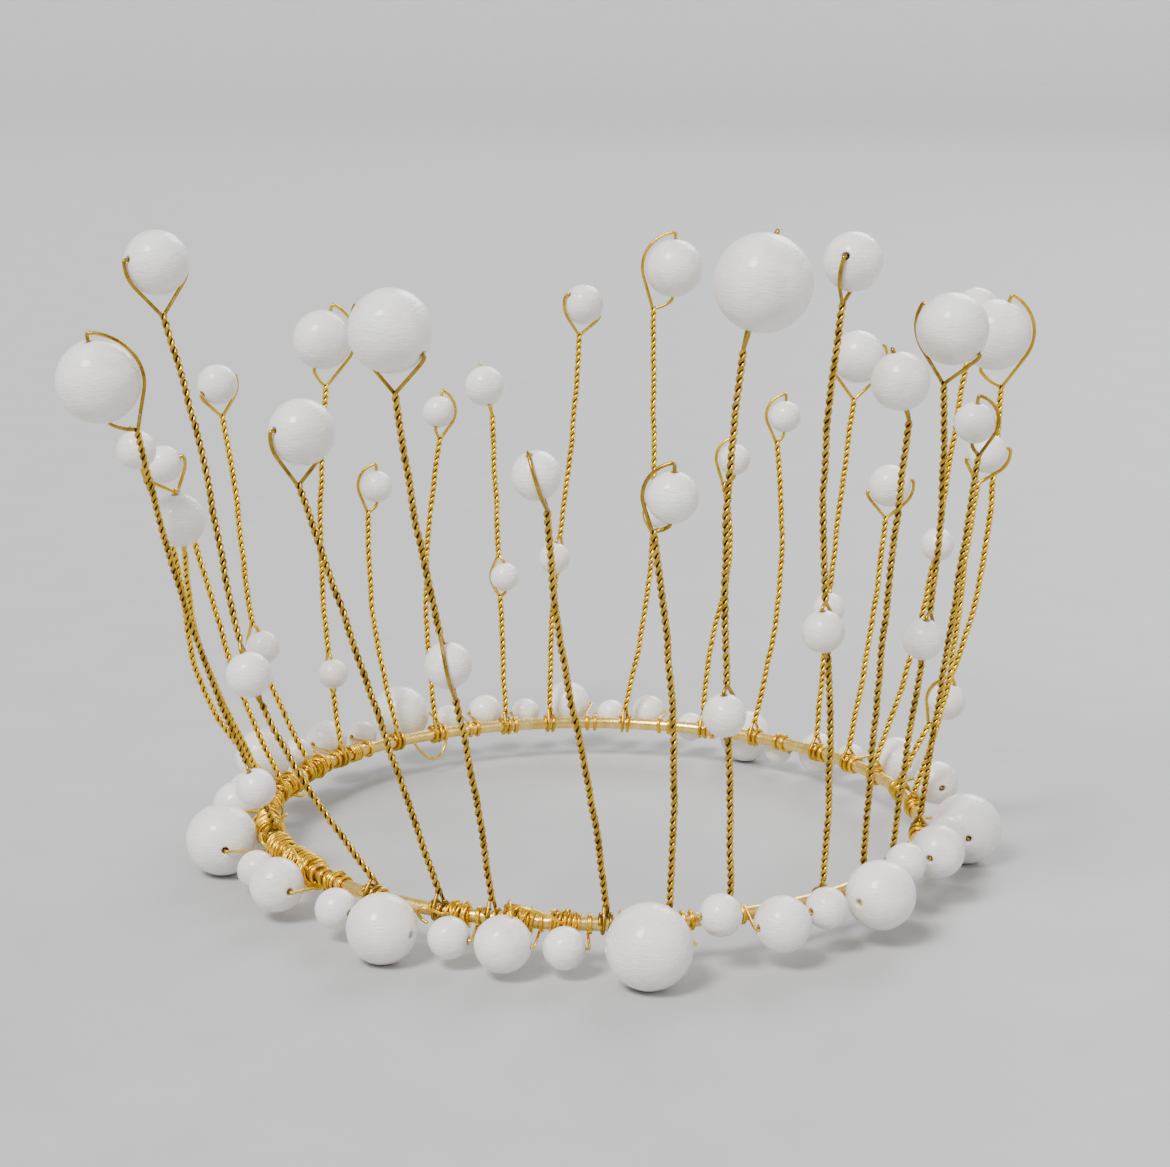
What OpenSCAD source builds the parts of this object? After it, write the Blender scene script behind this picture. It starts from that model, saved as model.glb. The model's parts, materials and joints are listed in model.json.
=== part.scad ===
// Wire and pearl crown: a wire ring edged with pearls, and a fence of twisted wire
// stems that stand up from it. Every stem grips the ring with its foot, carries a
// pearl at its tip, and half of them are threaded through a second pearl lower down.
// The origin is at the middle of the ring, on the surface that the crown stands on.

/* [Ring] */
// Radius of the ring, from its middle to the middle of its wire
ring_r = 51; // [50.5:0.1:52]
// Diameter of the ring's wire
ring_wire_d = 2; // [1.6:0.1:2]
// Height of the ring's wire above the surface that the crown stands on
ring_z = 6.5; // [6.5:0.1:8]

/* [Stems] */
// Thickness of a stem, two strands twisted together
stem_d = 1.1; // [0.8:0.05:1.1]
// Thickness of one strand, which loops through the pearls
strand_d = 0.55; // [0.4:0.05:0.55]
// Height of the stems, as a share of the design's own
stem_stretch = 1; // [1:0.01:1.15]
// Length of the foot that wraps round the ring
foot_len = 2.2; // [1.6:0.1:2.2]

/* [Pearls] */
// Diameter of the hole drilled through each pearl
pearl_hole_d = 1.1; // [0.9:0.05:1.2]
// Free space between the ring's wire and each pearl that edges it
pearl_gap = 0.85; // [0.8:0.05:1]

/* [Colours] */
// Colour of the pearls
pearl_colour = "ivory"; // [ivory, white, mistyrose]
// Colour of the wires
wire_colour = "goldenrod"; // [goldenrod, gold, silver]

/* [Hidden] */
// Running clearance of the feet, ties and wraps round the ring
ring_clearance = 0.08;
ring_bore_d = ring_wire_d + 2 * ring_clearance;
// Outer diameter of the feet and of the wraps on the ring
foot_d = ring_wire_d + 1.4;
wrap_d = ring_wire_d + 1.5;
// Height above the ring at which a stem leaves its foot, and at which it starts to lean
stem_root_h = 1.2;
neck_h = 2.6;
// Distances of a strand from the pearl that it holds: beside it, and at the fork below it
loop_gap = 0.75;
fork_gap = 2.6;
// Distance from a threaded pearl to the ends of the twist above and below it
split_gap = 1.4;
// From a lower pearl to where its strand straightens, how far the spare strand leaves the
// stem's line, and how far the pearl stands off that line
mouth_gap = 0.4;
split_offset = 0.2;
thread_offset = 1;
// How far the twist runs on above the fork
run_on_h = 0.5;
// Depth to which strands run on into the twist that grips them
bury = 0.6;
// How far the two ends of a loop stand off the middle of the twist
strand_offset = 0.32;
// Length of the wire that shows beside a pearl on the ring, and its bend's diameter
pin_gap = 0.6;
bend_d = strand_d + 0.09;
// The tie round the ring: thickness of its wire and radius of its turn
tie_d = 0.7;
tie_r = ring_wire_d / 2 + ring_clearance + tie_d / 2;

// Sides of a stem's and a strand's outline, and the rings of points along them
stem_sides = 8;
strand_sides = 6;
stem_steps = 10;
short_stem_steps = 5;

// The stems, anticlockwise from +X. Each has: angle of its foot on the ring; its tip
// pearl's diameter and height above the ring; lean outward and lean sideways; nod of the
// tip, bow and sway of the stem, all towards +X; tilt of the tip pearl's hole and the
// direction of its raised end; then, where a second pearl is threaded lower down, that
// pearl's height and diameter and the side on which the spare strand passes it
STEMS = [
    [4, 6, 58, 8, -6, 15, 1.5, 0.5, 30, 0],
    [13, 11, 75, 10, -7, -10, 4.5, 0.5, 60, 0, 16, 6, 150],
    [24, 7, 77, 14, -3, 10, 2, 0.5, 0, 0, 39, 5.5, 90],
    [33, 7, 47, 6, -1, 5, 0.5, 0, 20, 0],
    [42, 9, 66, 14, 6, 5, -0.5, 0, 30, 0, 24, 5.5, 90],
    [57, 5.5, 55, 10, 1, 18, 2.5, 0, 75, 180],
    [68, 5.5, 47, 8, -2, 25, 1.5, -1, 65, 180],
    [84, 10, 80, 6, -7, 27, 2.5, 0.5, 65, 180, 37.5, 5, 150],
    [99, 7, 73, 10, -7, 8, -0.5, -0.5, 20, 210, 29, 5.5, 60],
    [108, 7, 59, 10, 1, -15, 0, 0, 80, 90, 26, 5, 150],
    [123, 5.5, 55, 9, -6, -4, -2, 0, 75, 30],
    [132, 5.5, 43, 9, -3, 19, -1.5, 0, 70, 180],
    [147, 10, 69, 10, -9, -5, -2, 0, 70, 0, 14, 5, 120],
    [158.5, 6.5, 64, 14, 2, -8, -3, -1, 20, 40, 21, 5.5, 150],
    [171.5, 6, 53, 18, 0, -25, -1, -0.5, 0, 0],
    [176.5, 6, 58, 18, 10, -14, -3.5, -2, 80, 90],
    [183, 8, 50, 11, 16, -5, -2.5, 0.5, 80, 90],
    [198, 12, 72, 25, 8, -35, -2, 0, 65, 0, 9, 6, 90],
    [232, 9, 89, 14, -26, -6, -5.5, -2, 10, 220, 32, 6.5, 90],
    [245, 9, 68, 10, -15, 5, 0, 0, 5, 220],
    [254, 11, 83, 14, -9, -3, 0, 0.5, 30, 150, 37, 6.5, 270],
    [272, 6.5, 65, 12, -10, -17, -0.5, 0.5, 80, 270],
    [282, 7, 61, 6, -2, 28, 1.5, 0, 65, 180],
    [292, 13, 89, 8, -1, 15, -1.5, 0.5, 80, 90, 30, 6, 60],
    [310, 8, 91, 6, -4, 12, -1, 1, 15, 245, 40, 6, 60],
    [320, 8, 75, 9, -8.5, -15, -0.5, 0, 80, 90],
    [330, 10, 81, 9, -7, 6, 1.5, -0.5, 30, 150, 36, 6, 60],
    [350, 6, 65, 6, -7, -11, 0, 0, 75, 0]
];

// The pearls that edge the ring: angle, diameter, height of the pearl's middle above
// the ring's wire, and the angle at which its own wire is tied to the ring
RING_PEARLS = [
    [9, 7, 2.5, 15], [27, 8, 1, 31], [37.5, 5, -1, 40], [46, 7, -2, 50],
    [54, 5, -2.5, 51.5], [62, 9, -2, 66], [72, 5, -1, 75], [80, 6, 1, 77],
    [87, 5, 0.5, 90], [95, 8, 2, 91.5], [103, 5, 1, 106], [110.5, 6, 1.5, 114],
    [118, 5, 1, 115.5], [126.5, 10, 2.5, 121], [136.5, 5, 1, 139.5],
    [144.5, 7, 1.5, 149], [154.5, 5, 2, 151.5], [165, 9, 4, 169.5],
    [174.5, 6, 1, 178.5], [183, 7, 1.5, 187], [193, 11, -1, 200],
    [204.5, 6, -2.5, 208], [216, 8, -1, 220.5], [229, 6, -1.5, 225.5],
    [239.5, 10, -1.5, 234], [249, 6, -2, 252], [257.5, 8, -1.5, 262],
    [266, 6, -2, 269.5], [277.5, 12, -0.5, 284], [288.5, 6, 2, 285.5],
    [297.5, 8, 0, 294], [306, 6, 0.5, 302.5], [315, 10, 1, 322],
    [325.5, 6, 2.5, 328], [334.5, 8, 2, 339], [344, 6, 1.5, 347.5],
    [356, 11, -1, 2]
];

// Where binding wire is wrapped round the ring: the angles at which each wrap starts
// and ends. The ends of the ring's wire are hidden under those on the left
WRAPS = [
    [142, 144.5], [153, 156.5], [162, 168], [179.5, 181.5], [184.5, 186], [188, 196],
    [201, 207], [209, 219], [222, 224], [247, 250.5], [256, 261], [263.5, 268],
    [274, 280]
];

function stem_label(i) = str("stem_", i < 9 ? "0" : "", i + 1);
function has_lower_pearl(s) = len(s) > 10;
function pearl_label(i) = str(stem_label(i), has_lower_pearl(STEMS[i]) ? "_pearls" : "_pearl");

function unit(v) = v / norm(v);
function level_dir(angle) = [cos(angle), sin(angle), 0];
function at_ring(angle) = ring_r * level_dir(angle) + [0, 0, ring_z];

// A stem's own directions and points
function out_of(s) = level_dir(s[0]);
function side_of(s) = level_dir(s[0] + 90);
function foot_of(s) = at_ring(s[0]);
function neck_of(s) = foot_of(s) + [0, 0, neck_h];
function tip_of(s) =
    foot_of(s) + s[3] * out_of(s) + s[4] * side_of(s) + [0, 0, s[2] * stem_stretch];
function tip_dir(s) =
    let (reach = tip_of(s) - neck_of(s)) unit([tan(s[5]), reach[1] / reach[2], 1]);
function fork_of(s) = tip_of(s) - (s[1] / 2 + fork_gap) * tip_dir(s);

// The point a share t of the way from the neck to the fork, along the stem's curve
function stem_at(s, t) =
    neck_of(s) + t * (fork_of(s) - neck_of(s))
    + [s[6] * sin(180 * t) + s[7] * sin(360 * t), 0, 0];

// The lower pearl: its share of the way up, and how far the twist stops either side
function lower_share(s) = (s[10] * stem_stretch - neck_h) / (fork_of(s)[2] - neck_of(s)[2]);
function split_share(s) = (s[11] / 2 + split_gap) / norm(fork_of(s) - neck_of(s));
function lower_dir(s) = unit(
    stem_at(s, lower_share(s) + split_share(s)) - stem_at(s, lower_share(s) - split_share(s))
);

// The direction across a stem nearest to a level direction
function across(dir, angle) =
    let (level = level_dir(angle)) unit(level - (level * dir) * dir);

// The middle of the lower pearl, pushed off the stem's line by the spare strand
function lower_pearl_of(s) =
    stem_at(s, lower_share(s)) - thread_offset * across(lower_dir(s), s[12]);

// The direction of the tip pearl's drilled hole
function tip_hole_dir(s) =
    let (u = tip_dir(s), w = across(u, s[9])) cos(s[8]) * w + sin(s[8]) * u;

// A wire of round outline swept along a path, with its rings square to it
module wire(path, d, sides, facing) {
    last = len(path) - 1;
    points = [
        for (i = [0:last])
            let (
                along = unit(path[min(i + 1, last)] - path[max(i - 1, 0)]),
                a = unit(cross(facing, along)),
                b = cross(along, a)
            )
            for (k = [0:sides - 1])
                path[i] + d / 2 * (cos(k * 360 / sides) * a + sin(k * 360 / sides) * b)
    ];
    walls = [
        for (i = [0:last - 1], k = [0:sides - 1])
            let (here = i * sides, next = (k + 1) % sides)
            each [
                [here + k, here + sides + k, here + next],
                [here + next, here + sides + k, here + sides + next]
            ]
    ];
    foot_cap = [for (k = [0:sides - 1]) k];
    end_cap = [for (k = [sides - 1:-1:0]) last * sides + k];
    polyhedron(points = points, faces = concat(walls, [foot_cap, end_cap]));
}

// Turns its children's Z axis to a direction
module facing(dir) {
    rotate([0, acos(dir[2]), atan2(dir[1], dir[0])]) children();
}

// A drilled pearl
module pearl(place, d, hole_dir) {
    color(pearl_colour)
        translate(place)
            facing(hole_dir)
                difference() {
                    sphere(d = d, $fn = 64);
                    cylinder(d = pearl_hole_d, h = d + 2, center = true, $fn = 32);
                }
}

// The foot: turns of the stem's wire round the ring, left open for the ring to turn in
module foot(s) {
    translate(foot_of(s))
        facing(side_of(s))
            difference() {
                cylinder(d = foot_d, h = foot_len, center = true, $fn = 48);
                cylinder(d = ring_bore_d, h = foot_len + 2, center = true, $fn = 48);
            }
}

// The twisted part of a stem, from one share of its length to another
module twist(s, from, to, steps, run_on) {
    start = from == 0 ? [foot_of(s) + [0, 0, stem_root_h]] : [];
    middle = [for (i = [0:steps]) stem_at(s, from + (to - from) * i / steps)];
    end = run_on ? [fork_of(s) + run_on_h * tip_dir(s)] : [];
    wire(concat(start, middle, end), stem_d, stem_sides, side_of(s));
}

// The strand that leaves the fork, runs through the tip pearl and comes back
module tip_loop(s) {
    u = tip_dir(s);
    w = across(u, s[9]);
    c = tip_of(s);
    r = s[1] / 2;
    tilt = s[8];
    fall = fork_gap - loop_gap;
    near_steps = 4;
    far_steps = 8;
    near_arm = [
        for (k = [1:near_steps])
            let (t = k / near_steps, angle = 270 - (90 - tilt) * t)
            c + (r + loop_gap + fall * pow(1 - t, 2)) * (cos(angle) * w + sin(angle) * u)
    ];
    far_arm = [
        for (k = [0:far_steps - 1])
            let (t = k / far_steps, angle = tilt - (90 + tilt) * t)
            c + (r + loop_gap + fall * pow(t, 2)) * (cos(angle) * w + sin(angle) * u)
    ];
    path = concat(
        [fork_of(s) - strand_offset * w],
        near_arm,
        far_arm,
        [fork_of(s) + strand_offset * w]
    );
    wire(path, strand_d, strand_sides, cross(w, u));
}

// The two strands that part at the lower pearl: one through it and one round it
module lower_strands(s) {
    u = lower_dir(s);
    w = across(u, s[12]);
    middle = stem_at(s, lower_share(s));
    c = lower_pearl_of(s);
    r = s[11] / 2;
    end = (r + split_gap + bury) * u;
    mouth = (r + mouth_gap) * u;
    steps = 8;
    round_arm = [
        for (k = [0:steps])
            let (angle = 180 * k / steps - 90, share = 1 - cos(angle))
            c + share * (middle - c)
                + (r + loop_gap + (split_gap - loop_gap) * share) * (cos(angle) * w + sin(angle) * u)
    ];
    through = [middle - end, c - mouth, c, c + mouth, middle + end];
    aside = split_offset * w;
    around = concat([middle - end + aside], round_arm, [middle + end + aside]);
    for (path = [through, around]) wire(path, strand_d, strand_sides, cross(w, u));
}

// One stem: foot, twist and loops, all of one pair of strands
module stem_wire(s) {
    color(wire_colour)
        union() {
            foot(s);
            tip_loop(s);
            if (has_lower_pearl(s)) {
                low = lower_share(s) - split_share(s);
                high = lower_share(s) + split_share(s);
                twist(s, 0, low, short_stem_steps, false);
                twist(s, high, 1, short_stem_steps, true);
                lower_strands(s);
            } else {
                twist(s, 0, 1, stem_steps, true);
            }
        }
}

// The pearl or pearls of one stem
module stem_pearls(s) {
    pearl(tip_of(s), s[1], tip_hole_dir(s));
    if (has_lower_pearl(s))
        pearl(lower_pearl_of(s), s[11], lower_dir(s));
}

// The ring's wire
module ring_wire() {
    color(wire_colour)
        translate([0, 0, ring_z])
            rotate_extrude($fn = 180)
                translate([ring_r, 0]) circle(d = ring_wire_d, $fn = 32);
}

// Binding wire wrapped closely round the ring
module ring_wraps() {
    color(wire_colour)
        for (w = WRAPS)
            translate([0, 0, ring_z])
                rotate([0, 0, w[0]])
                    rotate_extrude(angle = w[1] - w[0], $fn = 180)
                        translate([ring_r, 0])
                            difference() {
                                circle(d = wrap_d, $fn = 32);
                                circle(d = ring_bore_d, $fn = 32);
                            }
}

// The middle of a pearl that edges the ring, resting against the ring's outside
function ring_pearl_at(p) =
    let (reach = p[1] / 2 + pearl_gap + ring_wire_d / 2)
    at_ring(p[0]) + sqrt(reach * reach - p[2] * p[2]) * level_dir(p[0]) + [0, 0, p[2]];

module ring_pearls() {
    for (p = RING_PEARLS) pearl(ring_pearl_at(p), p[1], level_dir(p[0] + 90));
}

// A straight length of strand
module strand(from, to) {
    translate(from)
        facing(unit(to - from))
            cylinder(d = strand_d, h = norm(to - from), $fn = 24);
}

// A pearl's own wire: through its hole, back to the ring and round it
module ring_pearl_tie(p) {
    turn = p[3] - p[0];
    way = (turn > 180 || (turn < 0 && turn > -180) ? -1 : 1) * level_dir(p[0] + 90);
    c = ring_pearl_at(p);
    bend = c + (p[1] / 2 + pin_gap) * way;
    knot = at_ring(p[3]);
    outward = level_dir(p[3]);
    rise = bend - knot;
    arrival = knot + tie_r * unit((rise * outward) * outward + [0, 0, rise[2]]);
    strand(c - (p[1] / 2 - pin_gap) * way, bend);
    translate(bend) sphere(d = bend_d, $fn = 24);
    strand(bend, arrival);
    translate(knot)
        facing(level_dir(p[3] + 90))
            rotate_extrude($fn = 48) translate([tie_r, 0]) circle(d = tie_d, $fn = 24);
}

module ring_pearl_ties() {
    color(wire_colour) for (p = RING_PEARLS) ring_pearl_tie(p);
}

ring_wire();
ring_wraps();
ring_pearls();
ring_pearl_ties();
for (i = [0:len(STEMS) - 1]) {
    stem_wire(STEMS[i]);
    stem_pearls(STEMS[i]);
}
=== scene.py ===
import json
import math

import bpy
import numpy as np
from mathutils import Matrix, Vector


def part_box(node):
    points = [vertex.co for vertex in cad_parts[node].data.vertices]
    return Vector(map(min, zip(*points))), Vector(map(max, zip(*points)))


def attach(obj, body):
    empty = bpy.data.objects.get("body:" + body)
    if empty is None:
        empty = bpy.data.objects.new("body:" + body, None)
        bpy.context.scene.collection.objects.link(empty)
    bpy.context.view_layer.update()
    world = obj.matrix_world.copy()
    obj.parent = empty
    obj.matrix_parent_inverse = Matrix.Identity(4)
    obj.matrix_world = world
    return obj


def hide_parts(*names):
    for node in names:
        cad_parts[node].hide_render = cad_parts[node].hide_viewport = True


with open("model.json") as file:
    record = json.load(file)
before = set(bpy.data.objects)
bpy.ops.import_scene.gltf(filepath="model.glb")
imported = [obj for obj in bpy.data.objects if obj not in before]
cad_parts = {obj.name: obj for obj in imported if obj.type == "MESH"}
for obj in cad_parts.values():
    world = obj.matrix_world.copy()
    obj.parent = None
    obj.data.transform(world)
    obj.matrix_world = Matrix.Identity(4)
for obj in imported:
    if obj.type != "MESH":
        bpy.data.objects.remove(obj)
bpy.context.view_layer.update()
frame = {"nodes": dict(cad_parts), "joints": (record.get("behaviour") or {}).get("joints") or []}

# ---------------------------------------------------------------- sizes, in millimetres
MM = 0.001
STRAND_R = 0.275  # one strand of a stem's twisted pair
TWIST_PITCH = 2.3  # length of one full turn of the pair
NECK_H = 2.6  # height above the ring's middle at which the twist begins
HUG = 0.42  # from a pearl to the middle of the strand that goes round it
FORK_GAP, SMALL_FORK_GAP = 2.6, 1.7  # from a tip pearl to the fork under it
SMALL_D = 8.5  # tip pearls smaller than this have the small fork gap
HOOK_TILT = 50  # where a hole is steeper than this, a strand hooks over the pearl to reach it
HOOK_LIFT, CLOSE_LIFT = 0.8, 0.1  # how far a hook that leans along X, and any other, stands off
SPLIT_GAP, SMALL_SPLIT_GAP = 1.4, 0.9  # from a lower pearl to where the strands part
SMALL_LOW_D = 6.2  # lower pearls smaller than this have the small split gap
HOLE_R = 0.55  # the drilled hole of a pearl
PEARL_GAP = 0.85  # from the ring's wire to a pearl that edges it
COIL_GAP = 0.1  # from the ring's wire to a strand or a tie wound on it
COIL_R = COIL_GAP + STRAND_R  # from the ring's wire to the middle of a strand wound on it
FOOT_TURNS, FOOT_PITCH = 1, 0.56  # of each strand of a stem on the ring
FOOT_START = 0.28  # from a foot's middle to where its strands' turns start
TIE_R, TIE_TURNS = 0.21, 2.1  # the wire that ties a pearl to the ring
TIE_START, TIE_WIDTH = 70, 0.44  # where its turns start, in degrees, and how wide they are
TIE_DEPTH, TIE_BEND = 0.6, 0.45  # how deep its end stops in the pearl, and where it bends
BIND_R, BIND_PITCH = 0.22, 0.52  # the close turns of binding wire
BIND_GAP, BIND_STRAY = 0.06, 0.16  # how far off the ring they are, and how far they stray
LOOP_R, LOOSE_R = 0.2, 0.24  # the untidy turns over them, and the loose ends
LOOP_OUT, LOOP_RISE = 0.58, 0.11  # from the ring to the first untidy layer, and to each next
LOOP_INSET = 0.06  # share of a wrap that its untidy turns leave free at each end
ROUND_END = [(0.9, 0.3), (0.7, 0.7), (0.35, 0.93)]  # how far out and how wide, in radii
STEP = 0.14  # between the points of a bent wire's path
# the darker gold of the front stems is painted shade, a shaded copy of the same gold
FRONT_Y = -8  # stems whose feet are nearer the front than this are of the deeper gold
SEED = 7

# How each stem's wire runs, anticlockwise from +X: nod of the tip, bow and sway of the
# stem towards +X, tilt of the tip pearl's hole, direction of its raised end, and the side
# on which the spare strand passes the lower pearl, where there is one
STEM_RUNS = [
    [15, 1.5, 0.5, 30, 0], [-10, 4.5, 0.5, 60, 0, 150], [10, 2, 0.5, 0, 0, 90],
    [5, 0.5, 0, 20, 0], [5, -0.5, 0, 30, 0, 90], [18, 2.5, 0, 75, 180], [25, 1.5, -1, 65, 180],
    [27, 2.5, 0.5, 65, 180, 150], [8, -0.5, -0.5, 20, 210, 60], [-15, 0, 0, 80, 90, 150],
    [-4, -2, 0, 75, 30], [19, -1.5, 0, 70, 180], [-5, -2, 0, 70, 0, 120],
    [-8, -3, -1, 20, 40, 150], [-25, -1, -0.5, 0, 0], [-14, -3.5, -2, 80, 90],
    [-5, -2.5, 0.5, 80, 90], [-35, -2, 0, 65, 0, 90], [-6, -5.5, -2, 10, 220, 90],
    [5, 0, 0, 5, 220], [-3, 0, 0.5, 30, 150, 270], [-17, -0.5, 0.5, 80, 270],
    [28, 1.5, 0, 65, 180], [15, -1.5, 0.5, 80, 90, 60], [12, -1, 1, 15, 245, 60],
    [-15, -0.5, 0, 80, 90], [6, 1.5, -0.5, 30, 150, 60], [-11, 0, 0, 75, 0],
]

# The pearls that edge the ring: angle on the ring, diameter, height above the ring's
# middle, and the angle at which each one's wire is wound on the ring
RING_PEARLS = [
    (9, 7, 2.5, 15), (27, 8, 1, 31), (37.5, 5, -1, 40), (46, 7, -2, 50),
    (54, 5, -2.5, 51.5), (62, 9, -2, 66), (72, 5, -1, 75), (80, 6, 1, 77),
    (87, 5, 0.5, 90), (95, 8, 2, 91.5), (103, 5, 1, 106), (110.5, 6, 1.5, 114),
    (118, 5, 1, 115.5), (126.5, 10, 2.5, 121), (136.5, 5, 1, 139.5),
    (144.5, 7, 1.5, 149), (154.5, 5, 2, 151.5), (165, 9, 4, 169.5),
    (174.5, 6, 1, 178.5), (183, 7, 1.5, 187), (193, 11, -1, 200),
    (204.5, 6, -2.5, 208), (216, 8, -1, 220.5), (229, 6, -1.5, 225.5),
    (239.5, 10, -1.5, 234), (249, 6, -2, 252), (257.5, 8, -1.5, 262),
    (266, 6, -2, 269.5), (277.5, 12, -0.5, 284), (288.5, 6, 2, 285.5),
    (297.5, 8, 0, 294), (306, 6, 0.5, 302.5), (315, 10, 1, 322),
    (325.5, 6, 2.5, 328), (334.5, 8, 2, 339), (344, 6, 1.5, 347.5),
    (356, 11, -1, 2),
]

# Arcs of the ring that are wrapped in binding wire: from, to, and how untidy
WRAPS = [
    (142, 144.5, 0.3), (153, 156.5, 0.5), (162, 168, 0.8), (179.5, 181.2, 0.8),
    (184.8, 186, 0.6), (188, 195.6, 1), (201, 207, 1), (209, 219, 1), (222, 224, 0.5),
    (247, 250.5, 0.6), (256, 261, 0.6), (263.5, 268, 0.5), (274, 280, 0.4),
]

# Loose ends and open loops of the binding wire: (angle, outward, upward) along each
LOOSE_ENDS = [
    [(128.5, -0.9, -0.6), (127.5, -1.8, -2.2), (125.5, -2.2, -3.6), (123, -1.8, -3.4),
     (121.5, -1.2, -1.8), (121.2, -0.9, -0.5)],
    [(247, 1.3, -0.3), (245.8, 2.6, 0.8), (244, 3.2, 1.2), (242.8, 2.6, 0.3),
     (243, 1.9, -0.9), (244, 2.0, -1.3)],
    [(256.2, -0.4, 1.3), (256.8, 1.6, 2.6), (259, 3.6, 3.4), (262, 4.2, 3.0),
     (264.5, 3.0, 1.6), (265.5, 1.6, 0.4)],
    [(256.5, 0.3, 1.4), (257.6, 2.4, 3.6), (258.3, 4.8, 3.2), (259, 6.0, 1.4)],
    [(200.2, 1.2, 0.9), (201, 2.6, 2.0), (203, 2.9, 1.2), (204, 1.6, 0.2)],
    [(211, 0.4, 1.7), (213, 1.8, 3.0), (216, 2.2, 2.4), (217.5, 1.4, 0.8)],
    [(190, -1.4, 0.4), (191.5, -2.6, 1.8), (194, -2.4, 2.6), (195.5, -1.0, 1.5)],
    [(164, -1.3, 0.5), (165, -2.8, 0.2), (167, -2.6, -1.4), (167.5, -1.1, -1.3)],
]

UP = np.array([0.0, 0.0, 1.0])


def unit(v):
    return np.asarray(v, float) / np.linalg.norm(v)


def level_dir(angle):
    """The level direction at an angle in degrees, anticlockwise from +X."""
    a = math.radians(angle)
    return np.array([math.cos(a), math.sin(a), 0.0])


ring_lo, ring_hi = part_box("ring_wire")
RING_WIRE_R = (ring_hi.z - ring_lo.z) / 2 / MM
RING_R = (ring_hi.x - ring_lo.x) / 2 / MM - RING_WIRE_R
RING_Z = (ring_hi.z + ring_lo.z) / 2 / MM


def at_ring(angle, outward=0.0, upward=0.0):
    """A point beside the middle line of the ring's wire, at an angle in degrees."""
    return (RING_R + outward) * level_dir(angle) + (RING_Z + upward) * UP


# ---------------------------------------------------------------- mesh tools
class Piece:
    """Points and faces in millimetres, which become one Blender object."""

    def __init__(self):
        self.points, self.faces, self.groove, self.count = [], [], [], 0

    def add(self, points, faces, groove):
        self.points.append(np.asarray(points, float).reshape(-1, 3))
        self.groove.append(np.asarray(groove, float).ravel())
        self.faces += [tuple(int(i) + self.count for i in f) for f in faces]
        self.count += len(self.points[-1])

    def make(self, name, body, material, slot, *nodes):
        mesh = bpy.data.meshes.new(name)
        mesh.from_pydata((np.vstack(self.points) * MM).tolist(), [], self.faces)
        # the groove attribute carries the painted shade where a pair's strands touch
        mesh.attributes.new("groove", "FLOAT", "POINT").data.foreach_set(
            "value", np.concatenate(self.groove).astype(np.float32)
        )
        mesh.polygons.foreach_set("use_smooth", [True] * len(mesh.polygons))
        mesh.materials.append(material)
        mesh.update()
        piece = bpy.data.objects.new(name, mesh)
        bpy.context.scene.collection.objects.link(piece)
        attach(piece, body)
        if nodes:
            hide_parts(*nodes)
        return piece


def grid_faces(rows, columns, closed_rows=False):
    """Quads between rows of points. closed_rows joins the last row to the first."""
    faces = []
    for i in range(rows if closed_rows else rows - 1):
        here, above = i * columns, (i + 1) % rows * columns
        for k in range(columns):
            n = (k + 1) % columns
            faces.append((here + k, here + n, above + n, above + k))
    return faces


def frames_along(path):
    """Unit tangents and a pair of cross directions that don't spin along the path."""
    t = np.gradient(path, axis=0)
    t /= np.linalg.norm(t, axis=1)[:, None]
    a = np.empty_like(path)
    last = unit(np.cross(t[0], UP if abs(t[0][2]) < 0.9 else np.array([1.0, 0, 0])))
    for i, along in enumerate(t):
        last = unit(last - (last @ along) * along)
        a[i] = last
    return t, a, np.cross(t, a)


def tube(piece, path, radius, sides=8, core=None):
    """A wire along a path with rounded ends. core is the middle of the pair that the wire
    is twisted in, where it is: the side that faces it gets painted shade where the strands touch."""
    path = np.asarray(path, float)
    ends = [unit(path[0] - path[1]), unit(path[-1] - path[-2])]
    cap = len(ROUND_END)
    head = [path[0] + ends[0] * radius * out for out, _ in ROUND_END]
    tail = [path[-1] + ends[1] * radius * out for out, _ in reversed(ROUND_END)]
    full = np.vstack([head, path, tail])
    r = np.full(len(full), radius)
    r[:cap] *= [w for _, w in ROUND_END]
    r[-cap:] *= [w for _, w in reversed(ROUND_END)]
    _, a, b = frames_along(full)
    angle = np.linspace(0, 2 * math.pi, sides, endpoint=False)
    out = np.cos(angle)[None, :, None] * a[:, None] + np.sin(angle)[None, :, None] * b[:, None]
    groove = np.zeros((len(full), sides))
    if core is not None:
        away = path - core
        size = np.linalg.norm(away, axis=1)
        away /= np.maximum(size, 1e-9)[:, None]
        facing = np.einsum("ijk,ik->ij", out[cap:-cap], away)
        # painted shade in the twist: 1 where the two strands touch, down to 0 where they have
        # parted
        near = np.clip(1.6 - size / STRAND_R / 1.5, 0, 1)[:, None]
        groove[cap:-cap] = np.clip(0.25 - facing, 0, 1) * near
    faces = grid_faces(len(full), sides)
    last = (len(full) - 1) * sides
    faces += [tuple(reversed(range(sides))), tuple(range(last, last + sides))]
    piece.add(full[:, None] + r[:, None, None] * out, faces, groove)


def resampled(path, step):
    """The path as evenly spaced points, about step apart."""
    path = np.asarray(path, float)
    along = np.concatenate([[0], np.cumsum(np.linalg.norm(np.diff(path, axis=0), axis=1))])
    count = max(4, int(round(along[-1] / step)) + 1)
    s = np.linspace(0, along[-1], count)
    return np.stack([np.interp(s, along, path[:, k]) for k in range(3)], axis=1)


def softened(path, step, spread):
    """The path resampled, with its corners rounded over about 2 x spread, ends kept."""
    p = resampled(path, step)
    reach = max(1, int(round(3 * spread / step)))
    offsets = np.arange(-reach, reach + 1) * step
    weight = np.exp(-0.5 * (offsets / spread) ** 2)
    weight /= weight.sum()
    before = 2 * p[0] - p[reach:0:-1]
    after = 2 * p[-1] - p[-2:-reach - 2:-1]
    padded = np.vstack([before, p, after])
    return np.stack([np.convolve(padded[:, k], weight, "valid") for k in range(3)], axis=1)


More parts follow.
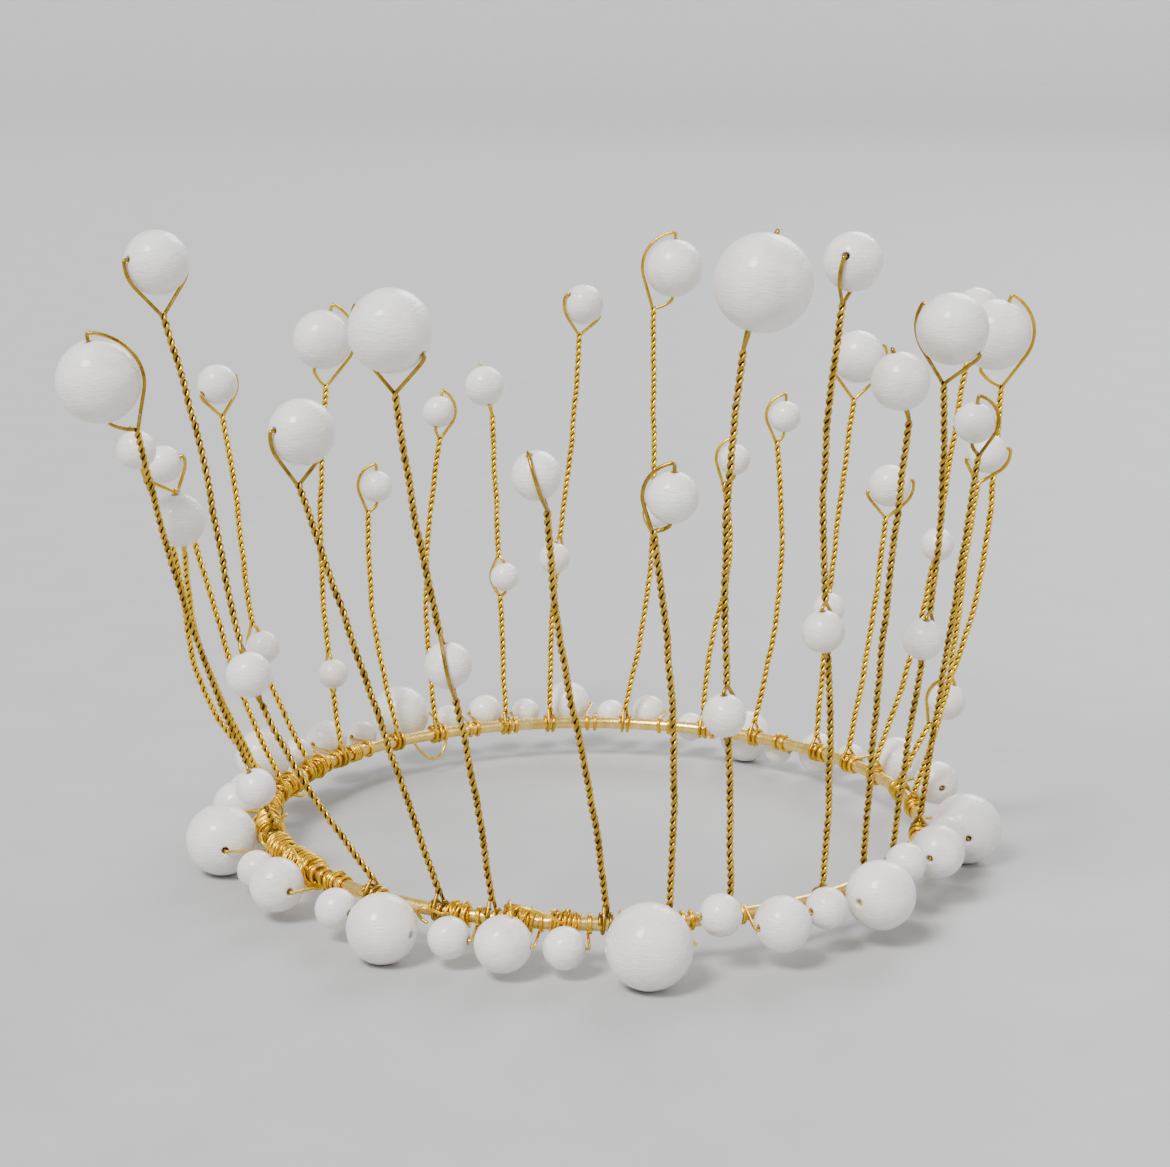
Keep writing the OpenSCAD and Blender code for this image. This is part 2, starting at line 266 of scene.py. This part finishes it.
def spline(points, count=60):
    """A smooth line through points."""
    p = np.array(points, float)
    p = np.vstack([2 * p[0] - p[1], p, 2 * p[-1] - p[-2]])
    found = []
    for t in np.linspace(0, len(p) - 3 - 1e-9, count):
        i, f = int(t), t - int(t)
        a, b, c, d = p[i:i + 4]
        found.append(
            0.5 * (2 * b + (c - a) * f + (2 * a - 5 * b + 4 * c - d) * f ** 2
                   + (3 * b - a - 3 * c + d) * f ** 3)
        )
    return np.array(found)


def any_angle(rng):
    """A random angle, in radians."""
    return rng.uniform(0, 6.28)


def wander(rng, s, size, longest):
    """A smooth random offset along a length s, of about the given size."""
    total = np.zeros_like(s)
    for k in (1, 1.7, 2.9):
        total += np.sin(2 * math.pi * s * k / longest + any_angle(rng)) / k
    return size * total / 1.6


def pearl(piece, centre, d, hole_dir, rng):
    """A drilled pearl: a lathe round its hole, with a fine crinkle on its outside."""
    r = d / 2
    rows, columns = int(20 + 2 * d), int(32 + 3 * d)
    first, bevel = math.asin(HOLE_R / r), 0.06
    polar = np.linspace(first + bevel, math.pi - first - bevel, rows)
    profile = [(r * math.sin(p), r * math.cos(p)) for p in polar]
    lip = bevel * r
    profile += [
        (HOLE_R + 0.02, -r * math.cos(first) + 0.1 * lip),
        (HOLE_R, -r * math.cos(first) + lip),
        (HOLE_R, 0),
        (HOLE_R, r * math.cos(first) - lip),
        (HOLE_R + 0.02, r * math.cos(first) - 0.1 * lip),
    ]
    z = unit(hole_dir)
    x = unit(np.cross(z, UP if abs(z[2]) < 0.9 else np.array([1.0, 0, 0])))
    y = np.cross(z, x)
    angle = np.linspace(0, 2 * math.pi, columns, endpoint=False)
    spokes = np.cos(angle)[:, None] * x + np.sin(angle)[:, None] * y
    points = np.array([[w * s + h * z for s in spokes] for w, h in profile])
    crinkle = np.zeros(points.shape[:2])
    waves, slowest, fastest = 14, 1.8, 4.5
    for _ in range(waves):
        wave = rng.normal(size=3)
        wave *= rng.uniform(slowest, fastest) / np.linalg.norm(wave)
        crinkle += np.sin(points @ wave + any_angle(rng))
    fade = np.clip((np.linalg.norm(points, axis=2) - 0.97 * r) / (0.03 * r), 0, 1)
    fade[0] = fade[rows - 1] = 0
    size = 0.006 + 0.0009 * d
    points *= (1 + size * fade * crinkle / 3 / r)[:, :, None]
    piece.add(points + centre, grid_faces(len(profile), columns, True), crinkle * 0)


# ---------------------------------------------------------------- materials
def new_material(name):
    material = bpy.data.materials.new(name)
    material.use_nodes = True
    nodes, links = material.node_tree.nodes, material.node_tree.links
    nodes.clear()
    output = nodes.new("ShaderNodeOutputMaterial")
    shader = nodes.new("ShaderNodeBsdfPrincipled")
    links.new(shader.outputs["BSDF"], output.inputs["Surface"])
    place = nodes.new("ShaderNodeTexCoord").outputs["Object"]
    return material, nodes, links, shader, place


def noise(nodes, links, place, scale, detail=3.0, rough=0.5, distort=0.0):
    n = nodes.new("ShaderNodeTexNoise")
    n.inputs["Scale"].default_value = scale
    n.inputs["Detail"].default_value = detail
    n.inputs["Roughness"].default_value = rough
    n.inputs["Distortion"].default_value = distort
    links.new(place, n.inputs["Vector"])
    return n.outputs["Fac"]


def ramp(nodes, links, value, stops):
    r = nodes.new("ShaderNodeValToRGB")
    while len(r.color_ramp.elements) < len(stops):
        r.color_ramp.elements.new(0.5)
    for element, (at, colour) in zip(r.color_ramp.elements, stops):
        element.position = at
        element.color = (*colour, 1)
    links.new(value, r.inputs["Fac"])
    return r.outputs["Color"]


def mixed(nodes, links, share, a, b):
    m = nodes.new("ShaderNodeMix")
    m.data_type = "RGBA"
    for socket, value in ((m.inputs[0], share), (m.inputs[6], a), (m.inputs[7], b)):
        if isinstance(value, (int, float)):
            socket.default_value = value
        elif isinstance(value, tuple):
            socket.default_value = (*value, 1)
        else:
            links.new(value, socket)
    return m.outputs[2]


def bumped(nodes, links, shader, height, distance, strength):
    """Raise a shader's surface by a height, over a distance in metres."""
    b = nodes.new("ShaderNodeBump")
    b.inputs["Distance"].default_value = distance
    b.inputs["Strength"].default_value = strength
    links.new(height, b.inputs["Height"])
    links.new(b.outputs["Normal"], shader.inputs["Normal"])


def wire_material(name, bright, deep, groove, rough):
    """Plated wire: bright where it is rubbed, deeper in patches, with painted shade in the twist.
    """
    material, nodes, links, shader, place = new_material(name)
    shader.inputs["Metallic"].default_value = 1.0
    patches = noise(nodes, links, place, 420, 4, 0.6, 0.4)
    colour = ramp(nodes, links, patches, [(0.32, deep), (0.62, bright)])
    worn = noise(nodes, links, place, 700, 2, 0.5)
    silver = ramp(nodes, links, worn, [(0.7, (0, 0, 0)), (0.76, (0.7, 0.7, 0.7))])
    colour = mixed(nodes, links, silver, colour, (0.72, 0.68, 0.6))
    # painted shade: the colour darkens towards the shade colour where a pair's strands touch
    attribute = nodes.new("ShaderNodeAttribute")
    attribute.attribute_name = "groove"
    dark = ramp(nodes, links, attribute.outputs["Fac"], [(0.05, (0, 0, 0)), (0.75, (1, 1, 1))])
    colour = mixed(nodes, links, dark, colour, groove)
    links.new(colour, shader.inputs["Base Color"])
    fine = noise(nodes, links, place, 2600, 3, 0.6)
    sheen = ramp(nodes, links, fine, [(0.3, (rough, rough, rough)), (0.75, (rough + 0.2,) * 3)])
    links.new(sheen, shader.inputs["Roughness"])
    bumped(nodes, links, shader, fine, 0.00006, 0.5)
    return material


def pearl_material():
    """Satin pearl coating with a fine brushed crinkle."""
    material, nodes, links, shader, place = new_material("pearl_coating")
    patches = noise(nodes, links, place, 170, 3, 0.55, 0.3)
    colour = ramp(
        nodes, links, patches,
        [(0.3, (0.86, 0.785, 0.7)), (0.5, (0.93, 0.895, 0.845)), (0.72, (0.97, 0.955, 0.93))],
    )
    links.new(colour, shader.inputs["Base Color"])
    shader.inputs["Coat Weight"].default_value = 0.55
    shader.inputs["Coat Roughness"].default_value = 0.16
    shader.inputs["Sheen Weight"].default_value = 0.15
    shader.inputs["Subsurface Weight"].default_value = 0.08
    shader.inputs["Subsurface Radius"].default_value = (1.0, 0.75, 0.6)
    shader.inputs["Subsurface Scale"].default_value = 0.0008
    stretch = nodes.new("ShaderNodeMapping")
    stretch.inputs["Scale"].default_value = (1, 1, 4.5)
    links.new(place, stretch.inputs["Vector"])
    crinkle = noise(nodes, links, stretch.outputs["Vector"], 800, 4, 0.65, 0.6)
    broad = noise(nodes, links, place, 330, 2, 0.5, 0.9)
    height = nodes.new("ShaderNodeMath")
    height.operation = "MULTIPLY_ADD"
    height.inputs[1].default_value = 0.6
    links.new(broad, height.inputs[0])
    links.new(crinkle, height.inputs[2])
    sheen = ramp(nodes, links, crinkle, [(0.3, (0.22,) * 3), (0.7, (0.4,) * 3)])
    links.new(sheen, shader.inputs["Roughness"])
    bumped(nodes, links, shader, height.outputs[0], 0.00028, 0.7)
    return material


PEARL = pearl_material()
# the third colour of each wire is the painted shade in its twist
GOLD = wire_material("gold_wire", (1.0, 0.66, 0.03), (0.72, 0.4, 0.012), (0.16, 0.07, 0.004), 0.2)
# a darker copy of the gold: painted shade for the front stems
SHADED_GOLD = wire_material(
    "shaded_gold_wire", (0.72, 0.45, 0.045), (0.32, 0.18, 0.014), (0.045, 0.02, 0.003), 0.2
)
BINDING = wire_material(
    "binding_wire", (1.0, 0.66, 0.035), (0.64, 0.35, 0.015), (0.12, 0.05, 0.005), 0.2
)
HOOP = wire_material("hoop_wire", (0.98, 0.74, 0.25), (0.82, 0.52, 0.09), (0.3, 0.15, 0.02), 0.2)


# ---------------------------------------------------------------- the stems
def across(direction, angle):
    """The level direction at an angle, turned square to another direction."""
    side = level_dir(angle)
    return unit(side - (side @ direction) * direction)


def balls_of(node):
    """(middle, diameter) of the one or two pearls in a CAD node, the tip's first."""
    points = np.array([v.co for v in frame["nodes"][node].data.vertices]) / MM
    points = points[np.argsort(points[:, 2])]
    gap = np.diff(points[:, 2])
    groups = [points]
    if node.endswith("pearls"):
        cut = int(np.argmax(gap)) + 1
        groups = [points[cut:], points[:cut]]
    return [((g.min(0) + g.max(0)) / 2, float(np.ptp(g, axis=0).max())) for g in groups]


class Stem:
    """One stem's line and directions, from its CAD nodes and its row of STEM_RUNS."""

    def __init__(self, number, run):
        self.name = f"stem_{number:02d}"
        self.nod, self.bow, self.sway, self.tilt, self.hole_angle = run[:5]
        self.side_angle = run[5] if len(run) > 5 else None
        hinge = next(j for j in frame["joints"] if j["name"] == self.name + "_bend")
        self.foot = np.array(hinge["pos_m"]) / MM
        self.angle = math.degrees(math.atan2(self.foot[1], self.foot[0]))
        self.pearl_node = self.name + ("_pearls" if len(run) > 5 else "_pearl")
        balls = balls_of(self.pearl_node)
        self.tip, self.tip_d = balls[0]
        self.neck = self.foot + NECK_H * UP
        reach = self.tip - self.neck
        self.tip_dir = unit([math.tan(math.radians(self.nod)), reach[1] / reach[2], 1])
        gap = SMALL_FORK_GAP if self.tip_d < SMALL_D else FORK_GAP
        self.fork = self.tip - (self.tip_d / 2 + gap) * self.tip_dir
        w, tilt = across(self.tip_dir, self.hole_angle), math.radians(self.tilt)
        self.arm_side = w
        self.hole_dir = math.cos(tilt) * w + math.sin(tilt) * self.tip_dir
        if self.side_angle is not None:
            self.low, self.low_d = balls[1]
            span = self.fork[2] - self.neck[2]
            share = (self.low[2] - self.neck[2]) / span
            gap = SMALL_SPLIT_GAP if self.low_d < SMALL_LOW_D else SPLIT_GAP
            half = (self.low_d / 2 + gap) / np.linalg.norm(self.fork - self.neck)
            self.cut = (share - half, share + half)
            self.low_dir = unit(self.at(share + half) - self.at(share - half))
            self.low_side = across(self.low_dir, self.side_angle)

    def at(self, t):
        """Points on the stem's line, from 0 at the neck to 1 at the fork."""
        t = np.asarray(t, float)
        line = self.neck + t[..., None] * (self.fork - self.neck)
        push = self.bow * np.sin(math.pi * t) + self.sway * np.sin(2 * math.pi * t)
        return line + push[..., None] * np.array([1.0, 0, 0])


def twisted(core, start_dir, end_dir, rng):
    """The two strands of a pair round core, with strand A on the start side start_dir and
    on the end side end_dir. Returns both, A first."""
    step = TWIST_PITCH / 11
    core = resampled(core, step)
    s = np.linspace(0, 1, len(core))
    length = step * (len(core) - 1)
    hold = np.sin(math.pi * s) ** 0.5
    core = core + (hold * wander(rng, s * length, 0.1, 14))[:, None] * np.array([1.0, 0, 0])
    core = core + (hold * wander(rng, s * length, 0.1, 11))[:, None] * np.array([0, 1.0, 0])
    _, a, b = frames_along(core)
    first = math.atan2(start_dir @ b[0], start_dir @ a[0])
    last = math.atan2(end_dir @ b[-1], end_dir @ a[-1])
    turns = round(length / TWIST_PITCH)
    phase = first + s * (2 * math.pi * turns + (last - first))
    phase = phase + hold * wander(rng, s * length, 0.5, 9)
    off = STRAND_R * (np.cos(phase)[:, None] * a + np.sin(phase)[:, None] * b)
    return core, core + off, core - off


def foot_coil(stem, sign, rng):
    """A strand's turns on the ring, from its free end up to the neck. sign is the way it
    is wound along the ring."""
    rho = RING_WIRE_R + COIL_R
    lean = math.degrees(math.acos(rho / NECK_H))
    start = 90 - lean if sign < 0 else 90 + lean
    turns = FOOT_TURNS + rng.uniform(-0.1, 0.05)
    share = np.linspace(1, 0, 64)
    psi = np.radians(start + (1 if sign > 0 else -1) * 360 * turns * share)
    along = sign * (FOOT_START + FOOT_PITCH * turns * share)
    angle = stem.angle + np.degrees(along / RING_R)
    return np.array([at_ring(a, rho * math.cos(p), rho * math.sin(p)) for a, p in zip(angle, psi)])


def tight_arm(start, mouth_angle, c, r, toward, u, lift=0.0, count=30):
    """A strand pulled tight from a point below a pearl round one side of it, to the angle
    of the hole's mouth. Angles are measured at the pearl's middle, from the direction
    toward, on the side that the arm takes, up to u."""
    x, y = (start - c) @ toward, (start - c) @ u
    reach = math.hypot(x, y)
    here = math.atan2(y, x)
    touch = here + math.acos(min(1, r / reach))
    points = []
    for t in np.linspace(0, 1, count):
        a = here + (mouth_angle - here) * t
        if mouth_angle <= touch:
            flat = (1 - t) * reach + t * r
        else:
            flat = r / math.cos(touch - a) if a < touch else r
        flat += lift * t ** 3
        points.append(c + flat * (math.cos(a) * toward + math.sin(a) * u))
    return points


def tip_loop(stem):
    """Up from the fork's -w side, through the tip pearl's hole, and back down its +w side."""
    w, u, c = stem.arm_side, stem.tip_dir, stem.tip
    r = stem.tip_d / 2 + HUG
    tilt = math.radians(stem.tilt)
    start, end = stem.fork - STRAND_R * w, stem.fork + STRAND_R * w
    sideways = abs(math.cos(math.radians(stem.hole_angle))) > 0.5
    lift = HOOK_LIFT if stem.tilt > HOOK_TILT and sideways else CLOSE_LIFT
    near = tight_arm(start, -tilt, c, r, -w, u)
    far = tight_arm(end, tilt, c, r, w, u, lift)
    return softened([*near, *far[::-1]], STEP, spread=0.32)


def lower_pair(stem):
    """The strands between the two twists: A through the lower pearl, B round it."""
    w, u, c = stem.low_side, stem.low_dir, stem.low
    r = stem.low_d / 2
    below, above = stem.at(stem.cut[0]), stem.at(stem.cut[1])
    mouth = (r + 0.3) * u
    through = [below - STRAND_R * w, c - mouth, c, c + mouth, above - STRAND_R * w]
    bottom = tight_arm(below + STRAND_R * w, 0, c, r + HUG, w, u)
    top = tight_arm(above + STRAND_R * w, 0, c, r + HUG, w, -u)
    around = [*bottom, *top[-2::-1]]
    return softened(through, STEP, spread=0.25), softened(around, STEP, spread=0.28)


def stem_strands(stem, rng):
    """The path of the one wire of a stem, from end to end, and the middle of its pair."""
    side = level_dir(stem.angle + 90)
    if stem.side_angle is None:
        parts = [twisted(stem.at(np.linspace(0, 1, 60)), -side, -stem.arm_side, rng)]
    else:
        low, high = stem.cut
        parts = [twisted(stem.at(np.linspace(0, low, 40)), -side, -stem.low_side, rng)]
        through, around = lower_pair(stem)
        parts.append((None, through, around))
        upper = stem.at(np.linspace(high, 1, 40))
        parts.append(twisted(upper, -stem.low_side, -stem.arm_side, rng))
    paths, cores = [], []
    for strand, sign in ((1, -1), (2, 1)):
        coil = foot_coil(stem, sign, rng)
        root = softened(np.vstack([coil, parts[0][strand][:1]]), STEP, spread=0.2)
        pieces, middles = [root[:-1]], [root[:-1]]
        for part in parts:
            points = part[strand]
            pieces.append(points)
            middles.append(points if part[0] is None else part[0])
        paths.append(np.vstack(pieces))
        cores.append(np.vstack(middles))
    loop = tip_loop(stem)
    path = np.vstack([paths[0], loop[1:-1], paths[1][::-1]])
    core = np.vstack([cores[0], loop[1:-1], cores[1][::-1]])
    keep = np.concatenate([[True], np.linalg.norm(np.diff(path, axis=0), axis=1) > 1e-4])
    return path[keep], core[keep]


for number, run in enumerate(STEM_RUNS, 1):
    rng = np.random.default_rng(SEED * 100 + number)
    stem = Stem(number, run)
    path, core = stem_strands(stem, rng)
    wire = Piece()
    tube(wire, path, STRAND_R, core=core)
    # the front stems take the darker copy of the gold: painted shade
    metal = SHADED_GOLD if stem.foot[1] < FRONT_Y else GOLD
    wire.make(stem.name + "_strands", stem.name, metal, "twisted_wire", stem.name + "_wire")
    beads = Piece()
    pearl(beads, stem.tip, stem.tip_d, stem.hole_dir, rng)
    body = stem.name + "_tip"
    if stem.side_angle is not None:
        pearl(beads, stem.low, stem.low_d, stem.low_dir, rng)
        body = stem.name
    beads.make(stem.name + "_beads", body, PEARL, "pearl", stem.pearl_node)

# ---------------------------------------------------------------- the ring's pearls
rng = np.random.default_rng(SEED)
rim, ties = Piece(), Piece()
for angle, d, height, tie_angle in RING_PEARLS:
    reach = d / 2 + PEARL_GAP + RING_WIRE_R
    centre = at_ring(angle, math.sqrt(reach * reach - height * height), height)
    tangent = level_dir(angle + 90)
    pearl(rim, centre, d, tangent, rng)
    turn = tie_angle - angle
    sign = -1 if turn > 180 or -180 < turn < 0 else 1
    way = sign * tangent
    rho = RING_WIRE_R + COIL_GAP + TIE_R
    share = np.linspace(0, 1, 56)
    spin = 1 if height >= 0 else -1
    psi = np.radians(spin * (TIE_START + 360 * TIE_TURNS * share))
    slide = sign * (-TIE_WIDTH / 2 + TIE_WIDTH * share)
    theta = tie_angle + np.degrees(slide / RING_R)
    coil = [at_ring(t, rho * math.cos(p), rho * math.sin(p)) for t, p in zip(theta, psi)]
    start = centre - (d / 2 - TIE_DEPTH) * way
    leave = centre + (d / 2 + TIE_BEND) * way
    path = softened([start, centre, leave, *coil], STEP, spread=0.28)
    tube(ties, path, TIE_R)
rim.make("rim_pearls", "ring", PEARL, "pearl", "ring_pearls")
ties.make("rim_pearl_ties", "ring", BINDING, "binding_wire", "ring_pearl_ties")

# ---------------------------------------------------------------- the binding wire
binding = Piece()
for start, end, mess in WRAPS:
    length = math.radians(end - start) * RING_R
    turns = length / BIND_PITCH
    share = np.linspace(0, 1, int(turns * 20) + 2)
    s = share * length
    rho = RING_WIRE_R + BIND_GAP + BIND_R + np.abs(wander(rng, s, BIND_STRAY * mess, 3.1))
    psi = 2 * math.pi * turns * share + any_angle(rng)
    shift = wander(rng, s, BIND_STRAY * mess, 2.3)
    theta = start + (end - start) * share + np.degrees(shift / RING_R)
    theta = np.clip(theta, start, end)
    coil = [at_ring(t, q * math.cos(p), q * math.sin(p)) for t, q, p in zip(theta, rho, psi)]
    tube(binding, coil, BIND_R)
    # the longer and the untidier a wrap is, the more layers of loose turns lie over it
    layers = int(round(4.5 * mess * length / 8)) + (1 if mess > 0.4 else 0)
    for layer in range(layers):
        loops = length / rng.uniform(1.4, 3.0)
        share = np.linspace(0, 1, int(loops * 24) + 12)
        s = share * length
        way = rng.choice([-1, 1])
        rho = RING_WIRE_R + LOOP_OUT + LOOP_RISE * layer + np.abs(wander(rng, s, 0.3, 2.7))
        psi = way * 2 * math.pi * loops * share + any_angle(rng)
        slant = 0.45 * mess * np.sin(psi + any_angle(rng)) + wander(rng, s, 0.25, 3.3)
        theta = start + (end - start) * (LOOP_INSET + (1 - 2 * LOOP_INSET) * share)
        theta = theta + np.degrees(slant / RING_R)
        theta = np.clip(theta, start, end)
        coil = [at_ring(t, q * math.cos(p), q * math.sin(p)) for t, q, p in zip(theta, rho, psi)]
        tube(binding, coil, LOOP_R)
binding.make("ring_binding", "ring", BINDING, "binding_wire", "ring_wraps")

loose = Piece()
for ends in LOOSE_ENDS:
    line = spline([at_ring(*p) for p in ends])
    tube(loose, softened(line, 0.15, spread=0.2), LOOSE_R)
loose.make("binding_loose_ends", "ring", BINDING, "binding_wire")

hoop = frame["nodes"]["ring_wire"]
hoop.data.materials.clear()
hoop.data.materials.append(HOOP)
for polygon in hoop.data.polygons:
    polygon.use_smooth = True

# ---------------------------------------------------------------- stage, lights, camera
FLOOR_R, RISE_R, WALL_H = 3.0, 1.5, 0.05


def stage_bowl():
    """A round floor whose edge curves up into a wall."""
    profile = [(0.0001, 0), (0.3, 0), (0.7, 0), (FLOOR_R, 0)]
    for k in range(1, 13):
        a = math.radians(90 * k / 12)
        profile.append((FLOOR_R + RISE_R * math.sin(a), RISE_R * (1 - math.cos(a))))
    profile.append((FLOOR_R + RISE_R, RISE_R + WALL_H))
    columns = 96
    points, faces = [], grid_faces(len(profile), columns)
    for r, h in profile:
        for k in range(columns):
            a = 2 * math.pi * k / columns
            points.append((r * math.cos(a), r * math.sin(a), h))
    mesh = bpy.data.meshes.new("floor")
    mesh.from_pydata(points, [], faces)
    mesh.polygons.foreach_set("use_smooth", [True] * len(mesh.polygons))
    material, nodes, links, shader, place = new_material("pale_floor")
    grain = noise(nodes, links, place, 60, 5, 0.6)
    links.new(
        ramp(nodes, links, grain, [(0.3, (0.44, 0.437, 0.433)), (0.7, (0.465, 0.462, 0.458))]),
        shader.inputs["Base Color"],
    )
    shader.inputs["Roughness"].default_value = 0.62
    mesh.materials.append(material)
    floor = bpy.data.objects.new("floor", mesh)
    bpy.context.scene.collection.objects.link(floor)


stage_bowl()


def soft_sun(name, place, width, strength, colour=(1, 1, 1)):
    """A distant soft light, width degrees across."""
    data = bpy.data.lights.new(name, "SUN")
    data.energy, data.angle, data.color = strength, math.radians(width), colour
    light = bpy.data.objects.new(name, data)
    light.location = place
    light.rotation_mode = "QUATERNION"
    light.rotation_quaternion = (-Vector(place)).to_track_quat("-Z", "Y")
    bpy.context.scene.collection.objects.link(light)


soft_sun("key", (-0.5, -0.65, 1.0), 20, 4.0)
soft_sun("fill", (0.9, -0.5, 0.45), 40, 0.9, (1, 0.98, 0.95))
soft_sun("back", (0.35, 0.9, 0.6), 30, 1.6, (0.96, 0.98, 1))

world = bpy.data.worlds.new("world")
world.use_nodes = True
world.node_tree.nodes["Background"].inputs["Color"].default_value = (0.9, 0.92, 0.95, 1)
world.node_tree.nodes["Background"].inputs["Strength"].default_value = 0.75
bpy.context.scene.world = world

SENSOR, LENS = 36.0, 78.0  # in millimetres
DISTANCE, ELEVATION = 0.4016, 0.3101  # from the ring's middle in metres, above it in radians
YAW, PITCH, ROLL = 0.0044, 0.0893, 0.0099  # radians from looking straight at that middle

data = bpy.data.cameras.new("camera")
data.sensor_fit, data.sensor_width = "HORIZONTAL", SENSOR
data.lens = LENS
data.clip_start, data.clip_end = 0.01, 20
camera = bpy.data.objects.new("camera", data)
bpy.context.scene.collection.objects.link(camera)
forward = Vector((0, math.cos(ELEVATION), -math.sin(ELEVATION)))
right = Vector((1, 0, 0))
above = right.cross(forward)
turn = Matrix.Rotation(YAW, 3, above)
forward, right = turn @ forward, turn @ right
turn = Matrix.Rotation(PITCH, 3, right)
forward, above = turn @ forward, turn @ above
right, above = (
    right * math.cos(ROLL) + above * math.sin(ROLL),
    above * math.cos(ROLL) - right * math.sin(ROLL),
)
place = Vector((0, -DISTANCE * math.cos(ELEVATION), DISTANCE * math.sin(ELEVATION)))
place.z += RING_Z * MM
camera.matrix_world = Matrix.Translation(place) @ Matrix((
    (right.x, above.x, -forward.x), (right.y, above.y, -forward.y), (right.z, above.z, -forward.z),
)).to_4x4()
bpy.context.scene.camera = camera
